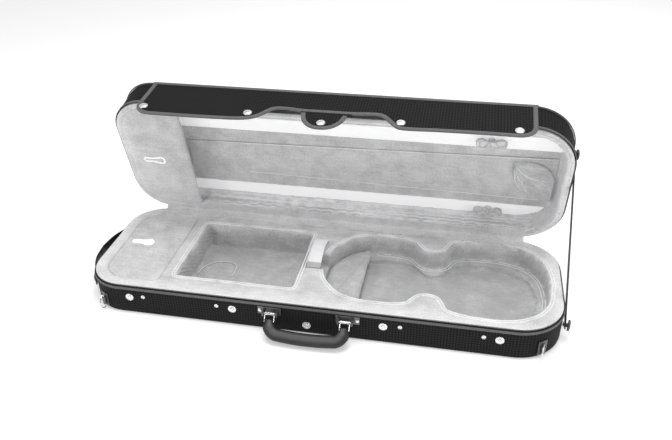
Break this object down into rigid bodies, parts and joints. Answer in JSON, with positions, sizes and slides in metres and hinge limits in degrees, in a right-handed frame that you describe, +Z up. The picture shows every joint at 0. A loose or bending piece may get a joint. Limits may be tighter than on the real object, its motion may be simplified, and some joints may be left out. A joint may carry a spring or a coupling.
{
  "type": "violin case",
  "caption": "Oblong hard case for one violin, lid held open by a stay, with shaped plush hollow, covered and open compartments, bow clips, snap flap and carrying handles.",
  "frame": {"origin": "middle of the flat underside, on the plane it stands on", "axes": "+X along the case from the covered compartment's end to the violin's end button, +Y towards the hinges, +Z up"},
  "size_m": [0.8391, 0.3517, 0.3241],
  "materials": {
    "black_nylon": "matt woven",
    "grey_binding": "ribbed tape",
    "plywood": "raw",
    "silver_velour": "soft pile over foam",
    "white_satin": "satin",
    "black_leather": "satin grain",
    "nickel_plate": "polished",
    "grey_plastic": "satin"
  },
  "bodies": {
    "base": {"base_cover": "black_nylon", "base_shell": "plywood", "base_binding": "grey_binding", "base_liner": "silver_velour", "bout_pad": "silver_velour", "snap_stud_1": "nickel_plate", "snap_stud_2": "nickel_plate", "snap_stud_3": "nickel_plate", "snap_stud_4": "nickel_plate", "snap_stud_5": "nickel_plate", "eyelet_1": "nickel_plate", "eyelet_2": "nickel_plate", "eyelet_3": "nickel_plate", "eyelet_4": "nickel_plate", "handle_plate_left": "nickel_plate", "handle_plate_right": "nickel_plate", "d_tab_left": "nickel_plate", "d_tab_right": "nickel_plate", "end_handle": "black_leather", "end_handle_stud_1": "nickel_plate", "end_handle_stud_2": "nickel_plate", "stay_stud_base": "grey_plastic", "stay_strap": "black_nylon", "hinge_1_base_leaf": "nickel_plate", "hinge_1_pin": "nickel_plate", "hinge_2_base_leaf": "nickel_plate", "hinge_2_pin": "nickel_plate", "hinge_gusset": "silver_velour"},
    "lid": {"lid_cover": "black_nylon", "lid_shell": "plywood", "lid_binding": "grey_binding", "lid_top_piping": "grey_binding", "lid_liner": "silver_velour", "bow_band_lower": "white_satin", "bow_band_upper": "white_satin", "bow_spinner_lower_boss": "grey_plastic", "bow_spinner_upper_boss": "grey_plastic", "document_pocket": "silver_velour", "fan_pocket": "silver_velour", "stay_stud_lid": "grey_plastic", "hinge_1_lid_leaf": "nickel_plate", "hinge_2_lid_leaf": "nickel_plate"},
    "flap": {"front_flap": "black_nylon", "snap_cap_1": "nickel_plate", "snap_cap_2": "nickel_plate", "snap_cap_3": "nickel_plate", "snap_cap_4": "nickel_plate", "snap_cap_5": "nickel_plate"},
    "handle": {"handle_grip": "black_leather", "handle_ring_left": "nickel_plate", "handle_ring_right": "nickel_plate"},
    "compartment_lid": {"accessory_lid": "silver_velour", "accessory_lid_tab": "white_satin"},
    "lid_panel": {"lid_pocket_panel": "silver_velour", "lid_pocket_tab": "white_satin"},
    "strap_over_neck": {"neck_strap": "white_satin"},
    "spinner_lower": {"bow_spinner_lower": "grey_plastic"},
    "spinner_upper": {"bow_spinner_upper": "grey_plastic"},
    "ring_left": {"d_ring_left": "nickel_plate"},
    "ring_right": {"d_ring_right": "nickel_plate"}
  },
  "joints": [
    {"name": "lid_hinge", "type": "hinge", "parent": "base", "child": "lid", "pos_m": [0, 0.1275, 0.06], "axis": [-1, 0, 0], "range_deg": [-76, 0], "deforming": ["stay_strap", "hinge_gusset"]},
    {"name": "flap_lift", "type": "hinge", "parent": "lid", "child": "flap", "pos_m": [0, 0.12114, 0.32318], "axis": [-1, 0, 0], "range_deg": [-7, 95]},
    {"name": "handle_swing", "type": "hinge", "parent": "base", "child": "handle", "pos_m": [-0.004, -0.1335, 0.0415], "axis": [-1, 0, 0], "range_deg": [-20, 120]},
    {"name": "compartment_lid_lift", "type": "hinge", "parent": "base", "child": "compartment_lid", "pos_m": [-0.272, 0, 0.06], "axis": [0, 1, 0], "range_deg": [0, 95]},
    {"name": "lid_panel_swing", "type": "hinge", "parent": "lid", "child": "lid_panel", "pos_m": [-0.275, 0.10296, 0.18529], "axis": [0, -0.2419, 0.9703], "range_deg": [0, 60]},
    {"name": "neck_strap_lift", "type": "hinge", "parent": "base", "child": "strap_over_neck", "pos_m": [-0.018, 0.062, 0.0615], "axis": [-1, 0, 0], "range_deg": [0, 100]},
    {"name": "spinner_lower_turn", "type": "hinge", "parent": "lid", "child": "spinner_lower", "pos_m": [0.272, 0.1567, 0.09871], "axis": [0, 0.9703, 0.2419], "range_deg": [-16, 16]},
    {"name": "spinner_upper_turn", "type": "hinge", "parent": "lid", "child": "spinner_upper", "pos_m": [0.264, 0.11799, 0.25396], "axis": [0, 0.9703, 0.2419], "range_deg": [-90, 90]},
    {"name": "ring_left_swing", "type": "hinge", "parent": "base", "child": "ring_left", "pos_m": [-0.36792, -0.12104, 0.01775], "axis": [0, 0, 1], "range_deg": [-108, 52]},
    {"name": "ring_right_swing", "type": "hinge", "parent": "base", "child": "ring_right", "pos_m": [0.36829, -0.11515, 0.01775], "axis": [0, 0, 1], "range_deg": [-36, 124]}
  ]
}
